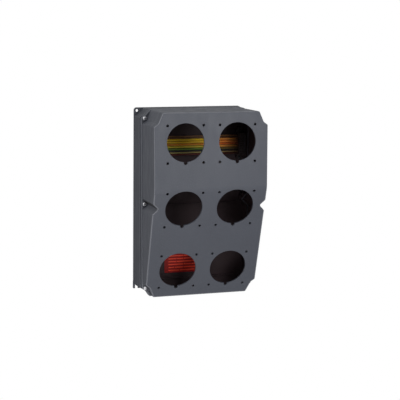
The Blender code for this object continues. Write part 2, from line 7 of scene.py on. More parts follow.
import bmesh
import bpy
from mathutils import Euler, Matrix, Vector


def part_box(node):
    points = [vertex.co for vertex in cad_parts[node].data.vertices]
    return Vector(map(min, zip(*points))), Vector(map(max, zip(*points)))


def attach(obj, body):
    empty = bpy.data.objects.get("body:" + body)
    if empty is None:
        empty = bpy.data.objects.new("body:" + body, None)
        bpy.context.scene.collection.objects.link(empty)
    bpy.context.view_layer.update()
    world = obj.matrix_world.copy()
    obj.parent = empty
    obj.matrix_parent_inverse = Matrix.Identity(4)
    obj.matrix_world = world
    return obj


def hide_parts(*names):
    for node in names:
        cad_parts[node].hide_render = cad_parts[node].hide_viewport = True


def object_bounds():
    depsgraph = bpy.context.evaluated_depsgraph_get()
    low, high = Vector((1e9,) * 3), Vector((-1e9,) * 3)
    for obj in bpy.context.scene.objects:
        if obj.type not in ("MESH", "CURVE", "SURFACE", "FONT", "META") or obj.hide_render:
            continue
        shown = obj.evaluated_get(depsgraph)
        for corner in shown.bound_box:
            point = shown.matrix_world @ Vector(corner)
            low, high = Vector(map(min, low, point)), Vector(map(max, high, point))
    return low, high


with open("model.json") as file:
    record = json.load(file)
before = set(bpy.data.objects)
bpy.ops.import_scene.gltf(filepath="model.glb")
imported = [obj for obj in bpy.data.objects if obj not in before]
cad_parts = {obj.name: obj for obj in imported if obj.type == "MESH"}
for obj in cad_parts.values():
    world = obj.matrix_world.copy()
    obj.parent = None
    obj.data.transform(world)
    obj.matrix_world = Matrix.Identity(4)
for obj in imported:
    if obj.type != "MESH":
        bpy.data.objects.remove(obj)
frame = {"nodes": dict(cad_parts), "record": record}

CAD_LOW, CAD_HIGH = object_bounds()
COVER_LOW, COVER_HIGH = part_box("front_cover")
BASE_LOW, BASE_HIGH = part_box("rear_box")
MOUNTS = {mount["name"]: mount for mount in frame["record"]["mounts"]}

# Depths along Y and outlines across X and Z, as in the CAD
DEPTH = -COVER_LOW.y
COVER_BACK_Y = COVER_HIGH.y
PARTING_Y = BASE_LOW.y
FLANGE_FRONT_Y = -0.0474
WALL = 0.003
BACK_WALL = 0.004
SLANTED_AXIS = MOUNTS["socket_lower_left"]["axis"]
SLANT = math.atan2(-SLANTED_AXIS[2], -SLANTED_AXIS[1])
FOLD_Z = 0.0303
FOLD_RADIUS = 0.034
FACE_HALF = (0.096, 0.1562)
NOTCH_APEX_X = 0.087
NOTCH_HALF_HEIGHT = 0.009
CORNER_CUT = ((FACE_HALF[0], 0.1338), (0.0892, 0.1388), (0.0815, FACE_HALF[1]))
FLANGE_CUT = ((0.0971, 0.143), (0.0907, 0.1474), (0.0815, COVER_HIGH.z))
FLANGE_LOW_CUT = ((0.0971, 0.143), (0.0912, 0.1468), (0.0845, COVER_HIGH.z))
BOX_FRONT_CUT = ((0.0984, 0.1436), (0.0913, 0.1478), (0.0822, 0.1570))
BOX_BACK_CUT = ((0.0979, 0.1440), (0.0919, 0.1483), (0.0830, 0.1570))
BOX_BACK_LOW_CUT = ((0.0979, 0.1440), (0.0919, 0.1483), (0.0774, 0.1570))
BASE_FLARE = 0.0026
EDGE_ROUND = 0.0018
EDGE_SLOPES = (0.15, 0.93)  # a face counts as an edge's round, and gets the painted highlight, when its normal's Y part lies between these
NOTCH_ROOF_SLOPE = -0.3  # and as a notch's upper wall, which gets painted shade, when its normal's Z part lies below this
CORNER_ROUND = 0.0026
FOLD_STEPS = 6
FLANGE_SOFT = 0.0008
BASE_SOFT = 0.0005
PLATE_SOFT = 0.0004
BOX_MOUTH_INSET = 0.0045
RIM_DEPTH = 0.005
RIM_CLOSING = 0.0003  # how much nearer the rim comes to the cover than in the CAD
OVERLAP = 0.001  # how far a cutter runs past a face or into another cutter
GASKET_INSETS = (0.0003, 0.0028)  # inwards from the face's outline
GASKET_CLEARANCE = 0.0003

# Ribs, as (height, half of the width) behind the cover's face and as heights on the box's floor
RIB_THICKNESS = 0.0018
COVER_RIB_HALF = FACE_HALF[0] - WALL / 2
COVER_RIBS = ((0.0515, COVER_RIB_HALF), (-0.0568, COVER_RIB_HALF), (0.1465, 0.075))
COVER_RIB_ROOT = WALL * 0.6
COVER_RIB_REACH = 0.009
FLOOR_RIBS = (0.0400, -0.0100, -0.1380)
FLOOR_RIB_HALF = 0.080
FLOOR_RIB_REACH = 0.004

# Cut-outs: a circle with a keying notch inside a square of fixing holes, on each socket mount's face
MOUNT_TO_CENTRE = 0.026
SOCKET_RADIUS = 0.0312
SOCKET_RISE = 0.0024
KEY_RADIUS = 0.003
KEY_DROP = 0.0325
SOCKET_SOFT = 0.0006
SOCKET_CUT_DEPTH = 0.010
SOCKET_STEPS = 92
KEY_STEPS = 14
FIXING_HALF = 0.030
FIXING_RADIUS = 0.0022
FIXING_SOFT = 0.0003
BOSS_RADIUS = 0.0042
BOSS_LENGTH = 0.0095

# Back plate
LUG_THICKNESS = 0.004
PLATE_HALF = (0.0984, BASE_HIGH.z)
TOP_LEFT_HOLE = (-0.0933, 0.1525, 0.0024)
TOP_RIGHT_HOLE = (0.0938, 0.1500, 0.0016)
TOP_LEFT_ROUND = 0.0047
TOP_RIGHT_CUT = ((0.0984, 0.1510), (0.0860, BASE_HIGH.z))
BOTTOM_LUG_Z = -0.1518
BOTTOM_LUG_X = BASE_HIGH.x
BOTTOM_SLOT = (0.0957, -0.1466)
BOTTOM_SLOT_RADIUS = 0.0026
BOTTOM_LUG_RISE = 0.006  # from the slot's centre up to where a lug starts to taper
BOTTOM_LUG_TAPER = 0.003
BOTTOM_LUG_LEAD = 0.0035  # how far a lug's lower edge slopes on its inner side
BOTTOM_LUG_ROUND = 0.00075
RECESS_MARGINS = (0.004, 0.014)
RECESS_SPACING_HALF = 0.005
RECESS_ROUND = 0.004
RECESS_DEPTH = 0.0015
KNOCKOUT_RADII = (0.01275, 0.0116)
KNOCKOUT_DEPTH = 0.0008

# Cover screws, their columns and inserts
TURNED_STEPS = 40
SCREW_HOLE_RADIUS = 0.0021
COLUMN_RADIUS = 0.0052
INSERT_HOLE_RADIUS = 0.0030
INSERT_HOLE_END_Y = -0.0247
DOMED_HEAD = ((0.45, 0.0), (0.72, 0.00015), (0.92, 0.0006), (1.0, 0.0012))  # share of the radius, depth
HEAD_SEAT_GAP = 0.0003
HEAD_BACK_SOFT = 0.0002
HEAD_BACK_SHARE = 0.95
SHANK_RADIUS = 0.00175
SHANK_END_Y = -0.0400
THREAD_START_Y = -0.0398
THREAD_PITCH = 0.0006
THREAD_DEPTH = 0.00022
THREAD_ROWS_PER_PITCH = 4
TIP_RADIUS = 0.0008
TIP_LENGTH = 0.0009
DRIVE_DEPTH = 0.0011
DRIVE_REACH_SHARE = 0.6
DRIVE_BAR_SHARE = 0.24
DRIVE_TAPER = 0.55
DRIVE_OVERRUN = 0.0004
WASHER_HOLE_RADIUS = 0.00205
WASHER_SOFT = 0.00015

# Small screws of the strips and the saddle, and the posts under them
POST_RADIUS = 0.0038
POST_FRONT_Y = -0.012
PILOT_RADIUS = 0.00155
PAN_HEAD = ((0.4, 0.0), (0.75, 0.0002), (0.97, 0.0009), (1.0, 0.0018))  # share of the radius, depth
SMALL_SHANK_RADIUS = 0.00125
SMALL_TIP_RADIUS = 0.0001
SMALL_TIP_LENGTH = 0.0012
SMALL_DRIVE_DEPTH = 0.001
SMALL_DRIVE_SHARE = 0.62

# Terminal strips
STRIP_BLOCK_HALF = 0.019
STRIP_ROUND = 0.001
STRIP_SOFT = 0.0005
EAR_HALF = 0.0045
EAR_ROUND = 0.0025
EAR_THICKNESS = 0.004
EAR_HOLE_OFFSET = 0.0235
EAR_HOLE_DEPTH = 0.006
FUNNEL_DEPTH = 0.0043
FUNNEL_CLEARANCE = 0.00012
POLE_GAP_HALF = 0.0002
POLE_GAP_DEPTH = 0.0016
POLE_GAP_OFFSET = 0.00015  # below a wire
CLAMP_RADIUS = 0.0013
CLAMP_SHARE = 0.8
CLAMP_HEIGHT = 0.0002
CLAMP_DEPTH = 0.001
CLAMP_OFFSET = 0.003

# Wires
LOOM_LOW, LOOM_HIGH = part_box("wire_beige")
WIRE_AXIS_Y = LOOM_HIGH.y - (LOOM_HIGH.z - LOOM_LOW.z) / 2
WIRE_POINTS = 60
WIRE_FIT = 0.995
WIRE_HELD_SHARE = 0.08  # the straight share of a wire at each strip
WIRE_BOW = 0.0012
WIRE_WAVER = 0.00010
WIRE_DRIFT_X = (0.015, 0.05)  # where the yellow wires turn towards orange
# Painted shade: the wires are coloured darker towards the right strip, where the cover shades them
WIRE_PAINTED_SHADE_X = (0.052, 0.078)  # where painted shade darkens them towards the right strip
PAINTED_WIRE_SHADE = (0.030, 0.014, 0.008)

# Rows of bars on the label
BAR_ROWS = 12
BAR_MARGIN = 0.0035
BAR_HEIGHT = 0.0022
BAR_SPACING = 0.0009
BAR_SHORTEST = 0.009
BAR_SPREAD = 0.018
BAR_ROUND = 0.0004
BAR_RELIEF = 0.00012
BAR_ROOT = 0.0001

SMOOTH_ANGLE = math.radians(32)

CAMERA_LOCATION = (-0.5775, -1.9076, 0.2856)
CAMERA_ANGLES = (81.748, -0.16, -17.34)
CAMERA_LENS = 105.2
KEY_LIGHT = ((0.165, -0.724, 0.20), 1.5, 0.25)  # place, power in watts and size in metres
LEFT_LIGHT = ((-0.85, -0.50, 0.60), 2.6, 0.60)
FRONT_LIGHT = ((-0.08, -0.70, -0.28), 1.25, 0.25)
SKY_LOW, SKY_HIGH = 0.46, 0.56
FLOOR_Z = -0.55
FLOOR_COLOUR = (0.60, 0.60, 0.61, 1)


# ---------------------------------------------------------------- materials


def start_material(name, colour, roughness, metallic=0.0, specular=0.5):
    made = bpy.data.materials.new(name)
    made.use_nodes = True
    tree = made.node_tree
    shader = tree.nodes["Principled BSDF"]
    shader.inputs["Base Color"].default_value = (*colour, 1.0)
    shader.inputs["Roughness"].default_value = roughness
    shader.inputs["Metallic"].default_value = metallic
    shader.inputs["Specular IOR Level"].default_value = specular
    return made, tree, shader


def noise(tree, size, detail=3.0, stretch=(1, 1, 1)):
    """Noise with features of about the given size in metres, longer along the axes with a larger stretch."""
    coords = tree.nodes.new("ShaderNodeTexCoord")
    mapping = tree.nodes.new("ShaderNodeMapping")
    texture = tree.nodes.new("ShaderNodeTexNoise")
    mapping.inputs["Scale"].default_value = tuple(1 / (size * s) for s in stretch)
    texture.inputs["Scale"].default_value = 1.0
    texture.inputs["Detail"].default_value = detail
    tree.links.new(coords.outputs["Object"], mapping.inputs["Vector"])
    tree.links.new(mapping.outputs["Vector"], texture.inputs["Vector"])
    return texture.outputs["Fac"]


def remap(tree, value, low, high, start=0.3, end=0.7):
    """The value, spread from its usual range to the range between low and high."""
    node = tree.nodes.new("ShaderNodeMapRange")
    for socket, number in zip(("From Min", "From Max", "To Min", "To Max"), (start, end, low, high)):
        node.inputs[socket].default_value = number
    tree.links.new(value, node.inputs["Value"])
    return node.outputs["Result"]


def shade(tree, factor, colour, other, mode="MIX"):
    """Mixes two colours; each is a colour or a socket."""
    node = tree.nodes.new("ShaderNodeMix")
    node.data_type = "RGBA"
    node.blend_type = mode
    tree.links.new(factor, node.inputs["Factor"])
    for socket, value in ((node.inputs[6], colour), (node.inputs[7], other)):
        if isinstance(value, bpy.types.NodeSocket):
            tree.links.new(value, socket)
        else:
            socket.default_value = (*value, 1.0)
    return node.outputs[2]


def scaled(colour, factor):
    return tuple(min(1.0, channel * factor) for channel in colour)


def bumps(tree, shader, layers):
    """Stacks bump layers of (height, depth in metres) under the shader's normal."""
    below = None
    for height, depth in layers:
        node = tree.nodes.new("ShaderNodeBump")
        node.inputs["Strength"].default_value = 1.0
        node.inputs["Distance"].default_value = depth
        tree.links.new(height, node.inputs["Height"])
        if below:
            tree.links.new(below, node.inputs["Normal"])
        below = node.outputs["Normal"]
    tree.links.new(below, shader.inputs["Normal"])


def moulded(name, colour, roughness, mottle=0.06, grain=0.0007, grain_depth=0.00004, specular=0.4):
    """Moulded plastic: spark-eroded grain, faint flow marks, and handling marks that polish it a little."""
    made, tree, shader = start_material(name, colour, roughness, specular=specular)
    flow = remap(tree, noise(tree, 0.035, 2.0, (1, 1, 2.2)), 0.0, 1.0)
    base = shade(tree, flow, scaled(colour, 1 - mottle), scaled(colour, 1 + mottle))
    speck = remap(tree, noise(tree, grain * 2.5, 2.0), 0.0, 1.0, 0.25, 0.75)
    base = shade(tree, speck, base, shade(tree, speck, scaled(colour, 0.86), scaled(colour, 1.15)))
    tree.links.new(base, shader.inputs["Base Color"])
    rubbed = noise(tree, 0.012, 5.0, (1, 1, 3))
    tree.links.new(remap(tree, rubbed, roughness - 0.07, roughness + 0.08), shader.inputs["Roughness"])
    fine = noise(tree, grain, 2.0)
    swell = noise(tree, 0.03, 1.0)
    bumps(tree, shader, [(swell, 0.00025), (fine, grain_depth)])
    return made


def metal(name, colour, roughness, scratch=(1, 1, 1)):
    """Plated or turned metal with fine tool marks and dull patches."""
    made, tree, shader = start_material(name, colour, roughness, metallic=1.0)
    dull = remap(tree, noise(tree, 0.0025, 4.0), 0.0, 1.0)
    plating = shade(tree, dull, scaled(colour, 0.82), scaled(colour, 1.06))
    tree.links.new(plating, shader.inputs["Base Color"])
    marks = noise(tree, 0.0004, 3.0, scratch)
    tree.links.new(remap(tree, marks, roughness * 0.7, roughness * 1.5), shader.inputs["Roughness"])
    bumps(tree, shader, [(marks, 0.000015)])
    return made


def rubber(name, colour):
    made, tree, shader = start_material(name, colour, 0.8, specular=0.3)
    dust = remap(tree, noise(tree, 0.004, 5.0), 0.0, 1.0, 0.4, 0.8)
    tree.links.new(shade(tree, dust, colour, scaled(colour, 2.6)), shader.inputs["Base Color"])
    tree.links.new(remap(tree, noise(tree, 0.002, 3.0), 0.7, 0.92), shader.inputs["Roughness"])
    bumps(tree, shader, [(noise(tree, 0.0009, 3.0), 0.00006)])
    return made


def insulation(name, colour, right_colour):
    """PVC insulation: colour drifting along the wire, painted shade at the right end, soft gloss, faint
    extrusion lines.
    """
    made, tree, shader = start_material(name, colour, 0.36, specular=0.25)
    coords = tree.nodes.new("ShaderNodeTexCoord")
    split = tree.nodes.new("ShaderNodeSeparateXYZ")
    tree.links.new(coords.outputs["Object"], split.inputs["Vector"])
    along = remap(tree, split.outputs["X"], 0.0, 1.0, *WIRE_DRIFT_X)
    drift = remap(tree, noise(tree, 0.006, 3.0, (3, 1, 1)), 0.0, 1.0)
    dull = shade(tree, along, scaled(colour, 0.82), scaled(right_colour, 0.82))
    bright = shade(tree, along, scaled(colour, 1.12), scaled(right_colour, 1.12))
    clean = shade(tree, drift, dull, bright)
    # painted shade: darker towards the right strip
    shaded_share = remap(tree, split.outputs["X"], 0.0, 0.9, *WIRE_PAINTED_SHADE_X)
    tree.links.new(shade(tree, shaded_share, clean, PAINTED_WIRE_SHADE), shader.inputs["Base Color"])
    tree.links.new(remap(tree, noise(tree, 0.003, 3.0, (4, 1, 1)), 0.28, 0.46), shader.inputs["Roughness"])
    bumps(tree, shader, [(noise(tree, 0.0006, 2.0, (12, 1, 1)), 0.00003)])
    return made


def printed(name, colour, fade):
    """Printed card: uneven ink over a faint paper fibre."""
    made, tree, shader = start_material(name, colour, 0.45, specular=0.2)
    ink = remap(tree, noise(tree, 0.009, 4.0), 0.0, 1.0)
    print_colour = shade(tree, ink, scaled(colour, 1 - fade), scaled(colour, 1 + fade))
    tree.links.new(print_colour, shader.inputs["Base Color"])
    tree.links.new(remap(tree, noise(tree, 0.004, 3.0), 0.38, 0.55), shader.inputs["Roughness"])
    bumps(tree, shader, [(noise(tree, 0.0008, 4.0, (2.5, 1, 1)), 0.00003)])
    return made


HOUSING = moulded("housing_finish", (0.070, 0.075, 0.091), 0.50)
BASE_FINISH = moulded("base_finish", (0.054, 0.058, 0.070), 0.54)
# Painted highlight: the rounded edges of the housing get a lighter, glossier colour
EDGE_HIGHLIGHT = moulded("painted_edge_highlight_finish", (0.165, 0.170, 0.190), 0.36)
# Painted shade: the upper walls of the side notches get a near-black colour
NOTCH_SHADE = moulded("painted_notch_shade_finish", (0.013, 0.014, 0.018), 0.60)
# Painted shade: the inside faces of the shells, bosses and ribs get a colour darker than the housing, for
# the shade inside the box
INTERIOR_SHADE = moulded("painted_interior_shade_finish", (0.042, 0.026, 0.029), 0.62, mottle=0.25, specular=0.25)
BLACK = moulded("black_moulding_finish", (0.042, 0.030, 0.031), 0.42, mottle=0.15, grain=0.0005)
NYLON = moulded("nylon_finish", (0.40, 0.41, 0.43), 0.55, grain=0.0005, grain_depth=0.00002)
RUBBER = rubber("gasket_finish", (0.014, 0.014, 0.015))
STEEL = metal("zinc_plated_steel", (0.80, 0.80, 0.82), 0.38)
# Painted shade: the faces inside the cover screws' drive recesses get a darker steel
DRIVE_SHADE_STEEL = metal("steel_with_painted_recess_shade", (0.42, 0.42, 0.44), 0.45)
DARK_STEEL = metal("blackened_steel", (0.10, 0.10, 0.11), 0.35)
BRASS = metal("turned_brass", (0.76, 0.55, 0.21), 0.3, (1, 6, 1))
LABEL_RED = printed("label_ink", (0.34, 0.006, 0.004), 0.12)
LABEL_PALE = printed("label_pale_ink", (0.96, 0.075, 0.035), 0.04)
WIRE_COLOURS = {  # at the left and at the right end
    "beige": ((0.20, 0.10, 0.04), (0.26, 0.12, 0.04)),
    "brown": ((0.12, 0.05, 0.02), (0.12, 0.05, 0.02)),
    "yellow_upper": ((0.72, 0.47, 0.02), (0.95, 0.34, 0.07)),
    "yellow_lower": ((0.68, 0.42, 0.02), (0.92, 0.28, 0.05)),
    "orange": ((0.60, 0.23, 0.02), (0.80, 0.17, 0.03)),
    "olive": ((0.50, 0.38, 0.03), (0.80, 0.32, 0.06)),
    "green": ((0.10, 0.17, 0.02), (0.18, 0.12, 0.03)),
    "black": ((0.02, 0.02, 0.02), (0.02, 0.02, 0.02)),
    "pale_green": ((0.32, 0.26, 0.09), (0.30, 0.20, 0.08)),
    "red": ((0.09, 0.012, 0.008), (0.08, 0.010, 0.008)),
}


# ---------------------------------------------------------------- shapes


def arc(centre, radius, start, end, steps):
    """Points along an arc, both ends included, angles in degrees."""
    turns = [math.radians(start + (end - start) * i / steps) for i in range(steps + 1)]
    return [(centre[0] + radius * math.cos(t), centre[1] + radius * math.sin(t)) for t in turns]


def circle(centre, radius, steps):
    return arc(centre, radius, 0, 360, steps)[:-1]


def mirrored(quadrant):
    return [*quadrant, *((-x, z) for x, z in reversed(quadrant))]


def symmetric(quadrant, lower_quadrant=None):
    """The closed outline whose upper right quarter, counter-clockwise, is given; the lower ones are its
    mirror image unless their own quarter is given."""
    outline = []
    for point in mirrored(quadrant) + [(-x, -z) for x, z in mirrored(lower_quadrant or quadrant)]:
        if not any(math.dist(point, seen) < 1e-7 for seen in outline):
            outline.append(point)
    return outline


def inset(outline, distance):
    """The outline with each side moved inwards by the distance; a negative one moves it outwards."""
    moved = []
    count = len(outline)
    for i in range(count):
        before, here, after = (Vector(outline[(i + k) % count]) for k in (-1, 0, 1))
        along_in, along_out = (here - before).normalized(), (after - here).normalized()
        normal_in = Vector((-along_in.y, along_in.x))
        normal_out = Vector((-along_out.y, along_out.x))
        bisector = (normal_in + normal_out).normalized()
        moved.append(tuple(here + bisector * (distance / bisector.dot(normal_in))))
    return moved


def rounded(outline, radius, steps=6):
    """The outline with each corner replaced by an arc of the radius."""
    points = []
    count = len(outline)
    for i in range(count):
        before, here, after = (Vector(outline[(i + k) % count]) for k in (-1, 0, 1))
        back, ahead = (before - here).normalized(), (after - here).normalized()
        half_angle = back.angle(ahead) / 2
        reach = radius / math.tan(half_angle)
        centre = here + (back + ahead).normalized() * (radius / math.sin(half_angle))
        start = here + back * reach - centre
        sweep = start.angle_signed(here + ahead * reach - centre)
        for k in range(steps + 1):
            turn = -sweep * k / steps
            spoke = (
                start.x * math.cos(turn) - start.y * math.sin(turn),
                start.x * math.sin(turn) + start.y * math.cos(turn),
            )
            points.append(tuple(centre + Vector(spoke)))
    return points


def rectangle(x_low, x_high, z_low, z_high):
    return [(x_low, z_low), (x_high, z_low), (x_high, z_high), (x_low, z_high)]


def on_face(x, z, y):
    return Vector((x, y, z))


def skin(bm, layers, place=on_face, close=True):
    """Adds the body through layers of (outline, depth), all with equally many points."""
    loops = [[bm.verts.new(place(x, z, y)) for x, z in outline] for outline, y in layers]
    count = len(loops[0])
    for here, following in zip(loops, loops[1:]):
        for i in range(count):
            j = (i + 1) % count
            bm.faces.new((here[i], here[j], following[j], following[i]))
    if close:
        bm.faces.new(loops[0])
        bm.faces.new(loops[-1][::-1])
    return loops


def soft_edge(outline, soft, y):
    """Layers that lead from a front edge rounded by the soft radius to the full outline."""
    return [(inset(outline, soft), y), (inset(outline, soft * 0.3), y + soft * 0.3), (outline, y + soft)]


def prism(bm, outline, y_a, y_b, place=on_face):
    skin(bm, [(outline, y_a), (outline, y_b)], place)


def ring(bm, outer, inner, y_a, y_b, place=on_face):
    """Adds the closed band between two outlines of equally many points."""
    layers = [(outer, y_a), (outer, y_b), (inner, y_b), (inner, y_a), (outer, y_a)]
    skin(bm, layers, place, close=False)
    bmesh.ops.remove_doubles(bm, verts=bm.verts, dist=1e-6)


def shape(name, bm, material):
    """An object at the origin from a bmesh, with its faces turned outwards."""
    bmesh.ops.recalc_face_normals(bm, faces=bm.faces)
    mesh = bpy.data.meshes.new(name)
    bm.to_mesh(mesh)
    bm.free()
    mesh.materials.append(material)
    obj = bpy.data.objects.new(name, mesh)
    bpy.context.scene.collection.objects.link(obj)
    return obj


def housing_shape(name, bm, finish=HOUSING):
    """A housing body: painted highlight on the rounded edges, painted shade on the notches' upper walls."""
    obj = shape(name, bm, finish)
    obj.data.materials.append(EDGE_HIGHLIGHT)
    obj.data.materials.append(NOTCH_SHADE)
    for face in obj.data.polygons:
        # painted highlight on the rounded edges (1), painted shade on the notches' upper walls (2)
        if EDGE_SLOPES[0] < abs(face.normal.y) < EDGE_SLOPES[1]:
            face.material_index = 1
        elif face.normal.z < NOTCH_ROOF_SLOPE and 0 < face.center.z < NOTCH_HALF_HEIGHT:
            face.material_index = 2
    return obj


def carve(obj, cutter, operation="DIFFERENCE"):
    """Applies a Boolean, keeping the cutter's material on the faces it makes, and removes the cutter."""
    modifier = obj.modifiers.new("carve", "BOOLEAN")
    modifier.operation = operation
    modifier.solver = "EXACT"
    modifier.material_mode = "TRANSFER"
    modifier.object = cutter
    graph = bpy.context.evaluated_depsgraph_get()
    mesh = bpy.data.meshes.new_from_object(obj.evaluated_get(graph))
    obj.modifiers.clear()
    obj.data = mesh
    bpy.data.objects.remove(cutter)


def finish_piece(obj, body, slot, *nodes):
    """Smooths the shading, keeps flat faces flat, and puts the piece on its body in place of its nodes."""
    mesh = obj.data
    mesh.shade_smooth()
    mesh.set_sharp_from_angle(angle=SMOOTH_ANGLE)
    weighted = obj.modifiers.new("weighted", "WEIGHTED_NORMAL")
    weighted.keep_sharp = True
    if nodes:
        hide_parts(*nodes)
    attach(obj, body)
    return obj


def slant_cut(bm, angle, depth_below_face=0.0):
    """Cuts along the plane that touches the fold's round at this angle, moved inwards by the depth."""
    normal = Vector((0, -math.cos(angle), -math.sin(angle)))
    centre = Vector((0, FOLD_RADIUS - DEPTH, FOLD_Z + FOLD_RADIUS * math.tan(SLANT / 2)))
    cut = bmesh.ops.bisect_plane(
        bm,
        geom=bm.verts[:] + bm.edges[:] + bm.faces[:],
        plane_co=centre + normal * (FOLD_RADIUS - depth_below_face),
        plane_no=normal,
        clear_outer=True,
    )
    edges = [item for item in cut["geom_cut"] if isinstance(item, bmesh.types.BMEdge)]
    bmesh.ops.contextual_create(bm, geom=edges)


def node_centre(name):
    """The middle of a CAD node across X and Z."""
    low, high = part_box(name)
    return (low.x + high.x) / 2, (low.z + high.z) / 2


def face_outline():
    return symmetric([(NOTCH_APEX_X, 0.0), (FACE_HALF[0], NOTCH_HALF_HEIGHT), *CORNER_CUT])


# ---------------------------------------------------------------- front cover


def cover_blank():
    """The cover's outer form: upper face, soft fold and slanted face, with rounded edges."""
    bm = bmesh.new()
    prism(bm, rounded(face_outline(), CORNER_ROUND), -DEPTH, (COVER_BACK_Y + FLANGE_FRONT_Y) / 2)
    for k in range(1, FOLD_STEPS + 1):
        slant_cut(bm, SLANT * k / FOLD_STEPS)
    bmesh.ops.recalc_face_normals(bm, faces=bm.faces)
    fronts = {f for f in bm.faces if f.normal.y < -0.5 and f.calc_center_median().y < FLANGE_FRONT_Y}
    rims = {edge for face in fronts for edge in face.edges if not all(f in fronts for f in edge.link_faces)}
    bmesh.ops.bevel(bm, geom=list(rims), offset=EDGE_ROUND, segments=4, profile=0.5, affect="EDGES")
    return housing_shape("cover_shell", bm)


def flange_blank():
    outline = rounded(symmetric(FLANGE_CUT, FLANGE_LOW_CUT), CORNER_ROUND)
    bm = bmesh.new()
    skin(bm, [*soft_edge(outline, FLANGE_SOFT, FLANGE_FRONT_Y), (outline, COVER_BACK_Y)])
    return housing_shape("cutter_flange", bm)


def cover_cavity():
    bm = bmesh.new()
    prism(bm, inset(face_outline(), WALL), WALL - DEPTH, COVER_BACK_Y + WALL)
    slant_cut(bm, SLANT, WALL)
    return shape("cutter_cavity", bm, INTERIOR_SHADE)


def face_place(mount):
    """From a socket mount, a function from (across, up, out) about its cut-out's square to the frame."""
    out = Vector(mount["axis"])
    across = Vector((1, 0, 0))
    up = out.cross(across).normalized()
    origin = Vector(mount["pos_m"]) - (across + up) * MOUNT_TO_CENTRE
    return lambda x, z, y: origin + across * x + up * z + out * y


def socket_places():
    return [face_place(mount) for name, mount in sorted(MOUNTS.items()) if name.startswith("socket_")]


def socket_outline():
    opening = math.degrees(math.asin(KEY_RADIUS / SOCKET_RADIUS))
    main = arc((0, SOCKET_RISE), SOCKET_RADIUS, -90 + opening, 270 - opening, SOCKET_STEPS)
    return main + arc((0, SOCKET_RISE - KEY_DROP), KEY_RADIUS, 180, 360, KEY_STEPS)


def fixing_centres():
    return [(x, z) for x in (-FIXING_HALF, FIXING_HALF) for z in (-FIXING_HALF, FIXING_HALF)]


def soft_hole(bm, outline, soft, depth, place):
    """A cutter through a face, whose mouth is rounded by the soft radius."""
    mouth = inset(outline, -soft * 1.02)
    layers = [(mouth, 0.002), (mouth, 0.00002)]
    for k in range(1, 4):
        turn = math.radians(30 * k)
        layers.append((inset(outline, -soft * (1 - math.sin(turn))), -soft * (1 - math.cos(turn))))
    layers.append((outline, -depth))
    skin(bm, layers, place)


def socket_cutter():
    bm = bmesh.new()
    for place in socket_places():
        soft_hole(bm, socket_outline(), SOCKET_SOFT, SOCKET_CUT_DEPTH, place)
        for centre in fixing_centres():
            soft_hole(bm, circle(centre, FIXING_RADIUS, 20), FIXING_SOFT, BOSS_LENGTH + WALL, place)
    return shape("cutter_sockets", bm, HOUSING)


def fixing_bosses():
    """Bosses behind the fixing holes."""
    bm = bmesh.new()
    for place in socket_places():
        for centre in fixing_centres():
            prism(bm, circle(centre, BOSS_RADIUS, 24), -WALL / 2, -BOSS_LENGTH, place)
    return shape("cutter_bosses", bm, INTERIOR_SHADE)


def stiffening_ribs():
    """Cross ribs behind the face: between the rows and above the upper one."""
    bm = bmesh.new()
    for z, half in COVER_RIBS:
        face_y = -DEPTH + max(0.0, FOLD_Z - z) * math.tan(SLANT)
        outline = rectangle(-half, half, z, z + RIB_THICKNESS)
        prism(bm, outline, face_y + COVER_RIB_ROOT, face_y + WALL + COVER_RIB_REACH)
    return shape("cutter_ribs", bm, INTERIOR_SHADE)


def screw_centres():
    """Centres of the six cover screws, in the order of their numbers in the CAD."""
    return [node_centre(f"screw_washer_{number}") for number in range(1, 7)]


def cover_shell():
    cover = cover_blank()
    carve(cover, flange_blank(), "UNION")
    carve(cover, cover_cavity())
    carve(cover, stiffening_ribs(), "UNION")
    carve(cover, fixing_bosses(), "UNION")
    carve(cover, socket_cutter())
    bm = bmesh.new()
    for centre in screw_centres():
        prism(bm, circle(centre, SCREW_HOLE_RADIUS, 28), FLANGE_FRONT_Y - WALL, COVER_BACK_Y + WALL)
    carve(cover, shape("cutter_screws", bm, HOUSING))
    finish_piece(cover, "cover", "housing", "front_cover")


# ---------------------------------------------------------------- rear box


def back_plate_outline():
    side, top = PLATE_HALF
    slot_x, slot_z = BOTTOM_SLOT
    corner_x, corner_z = BOX_BACK_LOW_CUT[2]
    foot = BOTTOM_LUG_ROUND
    taper_z = slot_z + BOTTOM_LUG_RISE
    lower = [
        (corner_x, -corner_z),
        (corner_x + BOTTOM_LUG_LEAD, BOTTOM_LUG_Z),
        (slot_x - BOTTOM_SLOT_RADIUS, BOTTOM_LUG_Z),
        *arc((slot_x, slot_z), BOTTOM_SLOT_RADIUS, 180, 0, 20),
        (slot_x + BOTTOM_SLOT_RADIUS, BOTTOM_LUG_Z),
        *arc((BOTTOM_LUG_X - foot, BOTTOM_LUG_Z + foot), foot, -90, 0, 5),
        (BOTTOM_LUG_X, taper_z),
        (side + BASE_FLARE, taper_z + BOTTOM_LUG_TAPER),
    ]
    top_left = arc((TOP_LEFT_ROUND - side, top - TOP_LEFT_ROUND), TOP_LEFT_ROUND, 90, 180, 14)
    return [*lower, *TOP_RIGHT_CUT, *top_left, *((-x, z) for x, z in reversed(lower))]


def flared(outline):
    """The outline with its sides leaning outwards towards the bottom, as on the CAD's rear face."""
    top = PLATE_HALF[1]
    return [(x + math.copysign(BASE_FLARE, x) * (top - z) / (2 * top), z) for x, z in outline]


def base_blank():
    front = rounded(symmetric(BOX_FRONT_CUT), CORNER_ROUND)
    back = rounded(flared(symmetric(BOX_BACK_CUT, BOX_BACK_LOW_CUT)), CORNER_ROUND)
    bm = bmesh.new()
    skin(bm, [*soft_edge(front, BASE_SOFT, PARTING_Y - RIM_CLOSING), (back, -LUG_THICKNESS / 2)])
    return housing_shape("base_shell", bm, BASE_FINISH)


